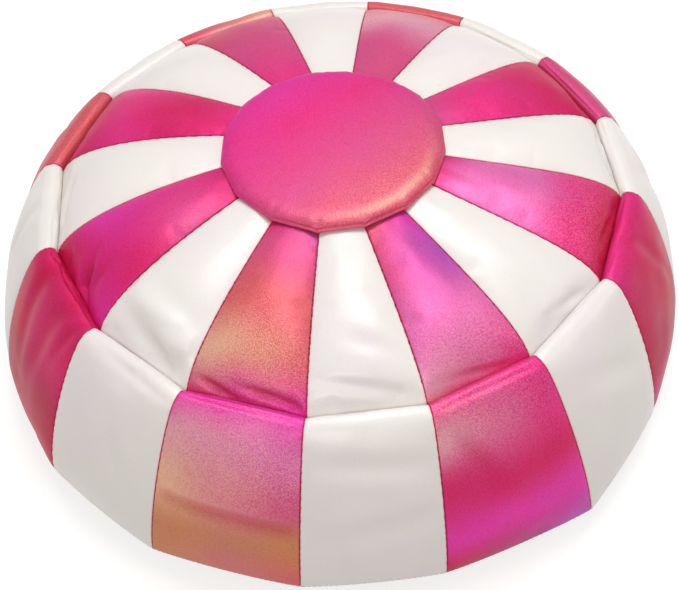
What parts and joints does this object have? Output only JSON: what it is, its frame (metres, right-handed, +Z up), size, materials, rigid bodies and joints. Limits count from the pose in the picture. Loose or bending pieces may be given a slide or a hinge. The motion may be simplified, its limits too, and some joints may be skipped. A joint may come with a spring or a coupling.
{
  "type": "pouf",
  "caption": "Low round leather pouf with alternating wedge and side panels, a padded centre patch, a soft filling and a zipped base.",
  "frame": {"origin": "on the floor, under the middle of the pouf", "axes": "+Z up; the zip lies along X and closes towards +X; a seam between two panels faces -Y"},
  "size_m": [0.538, 0.538, 0.1908],
  "materials": {
    "leather_pink": "satin",
    "leather_white": "satin",
    "wadding": "matte",
    "cotton": "matte",
    "thread_pink": "satin",
    "thread_white": "satin",
    "zip_tape": "matte",
    "zip_teeth": "gloss",
    "zip_metal": "polished"
  },
  "bodies": {
    "pouf": {"medallion": "leather_pink", "medallion_pad": "wadding", "medallion_thread": "thread_pink", "top_wedge_1": "leather_white", "side_panel_1": "leather_white", "top_wedge_2": "leather_pink", "side_panel_2": "leather_pink", "top_wedge_3": "leather_white", "side_panel_3": "leather_white", "top_wedge_4": "leather_pink", "side_panel_4": "leather_pink", "top_wedge_5": "leather_white", "side_panel_5": "leather_white", "top_wedge_6": "leather_pink", "side_panel_6": "leather_pink", "top_wedge_7": "leather_white", "side_panel_7": "leather_white", "top_wedge_8": "leather_pink", "side_panel_8": "leather_pink", "top_wedge_9": "leather_white", "side_panel_9": "leather_white", "top_wedge_10": "leather_pink", "side_panel_10": "leather_pink", "top_wedge_11": "leather_white", "side_panel_11": "leather_white", "top_wedge_12": "leather_pink", "side_panel_12": "leather_pink", "top_wedge_13": "leather_white", "side_panel_13": "leather_white", "top_wedge_14": "leather_pink", "side_panel_14": "leather_pink", "top_wedge_15": "leather_white", "side_panel_15": "leather_white", "top_wedge_16": "leather_pink", "side_panel_16": "leather_pink", "wedge_seam_thread": "thread_pink", "rim_seam_thread": "thread_pink", "side_seam_thread": "thread_pink", "base_panel_front": "leather_white", "base_panel_back": "leather_white", "base_seam_thread": "thread_white", "zip_seam_thread": "thread_white", "liner_bag": "cotton", "filling": "wadding", "zip_tape_front": "zip_tape", "zip_tape_back": "zip_tape", "zip_teeth_front": "zip_teeth", "zip_teeth_back": "zip_teeth", "zip_stops": "zip_metal"},
    "zip_slider": {"zip_slider": "zip_metal"},
    "zip_pull": {"zip_pull": "zip_metal"}
  },
  "joints": [
    {"name": "zip_slide", "type": "slide", "parent": "pouf", "child": "zip_slider", "axis": [-1, 0, 0], "range_m": [0, 0.3271]},
    {"name": "pull_swing", "type": "hinge", "parent": "zip_slider", "child": "zip_pull", "pos_m": [0.16355, 0, 0.0054], "axis": [0, -1, 0], "range_deg": [0, 175]}
  ]
}
